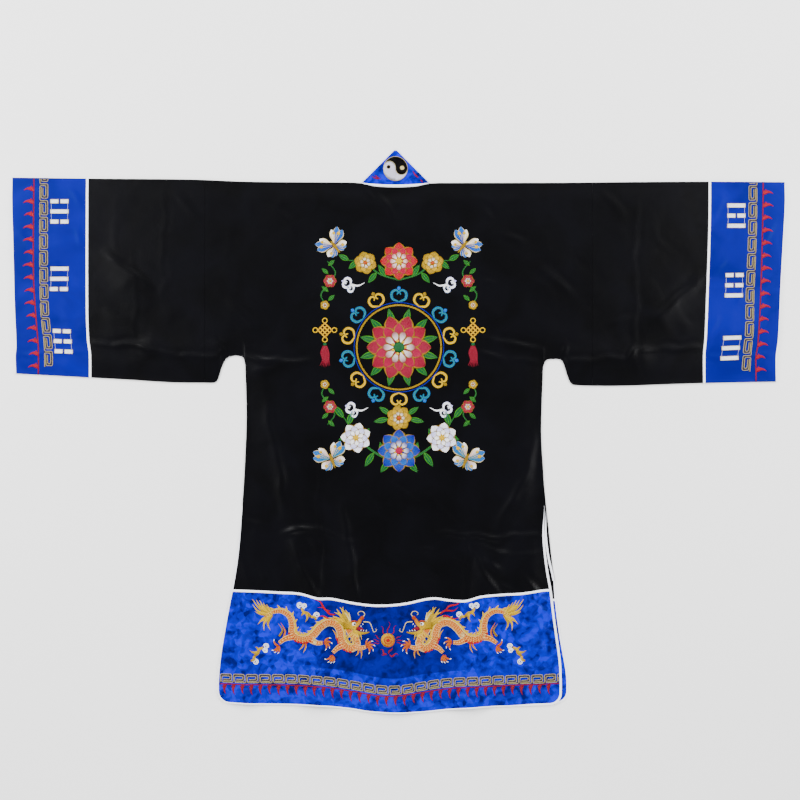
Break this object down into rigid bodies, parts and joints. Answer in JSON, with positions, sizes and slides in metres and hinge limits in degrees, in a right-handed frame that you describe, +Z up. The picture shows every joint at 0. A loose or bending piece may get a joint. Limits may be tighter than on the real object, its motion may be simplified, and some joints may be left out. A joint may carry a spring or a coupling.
{
  "type": "ceremonial robe laid flat",
  "caption": "Wide-sleeved black satin robe laid flat with its back up: blue cuff bands, hem band and folded collar, white piping and rich embroidery",
  "frame": {"origin": "middle of the robe's length and width, on the surface that it lies on", "axes": "+X from the left cuff to the right cuff as seen from above, +Y from the hem to the collar, +Z up out of the surface, on the side that shows the robe's back"},
  "size_m": [1.8001, 1.3089, 0.0142],
  "materials": {
    "black_satin": "satin",
    "blue_satin": "satin",
    "white_piping": "satin",
    "emblem_embroidery": "embroidered"
  },
  "bodies": {
    "root": {"back_body": "black_satin", "front_body_left": "black_satin", "front_body_right": "black_satin", "sleeve_left_back": "black_satin", "sleeve_left_front": "black_satin", "sleeve_right_back": "black_satin", "sleeve_right_front": "black_satin", "hem_panel_back": "blue_satin", "hem_border_back": "blue_satin", "collar": "blue_satin", "hem_panel_front_left": "blue_satin", "hem_border_front_left": "blue_satin", "cuff_band_left_back": "blue_satin", "cuff_band_left_front": "blue_satin", "hem_panel_front_right": "blue_satin", "hem_border_front_right": "blue_satin", "cuff_band_right_back": "blue_satin", "cuff_band_right_front": "blue_satin", "piping_hem_back": "white_piping", "piping_edge_back": "white_piping", "piping_collar_back": "white_piping", "piping_slit_front_right": "white_piping", "piping_hem_front_left": "white_piping", "piping_edge_front_left": "white_piping", "piping_collar_front_left": "white_piping", "piping_cuff_left_back": "white_piping", "piping_cuff_end_left_back": "white_piping", "piping_cuff_left_front": "white_piping", "piping_cuff_end_left_front": "white_piping", "piping_hem_front_right": "white_piping", "piping_edge_front_right": "white_piping", "piping_collar_front_right": "white_piping", "piping_cuff_right_back": "white_piping", "piping_cuff_end_right_back": "white_piping", "piping_cuff_right_front": "white_piping", "piping_cuff_end_right_front": "white_piping", "collar_emblem": "emblem_embroidery"}
  },
  "joints": []
}
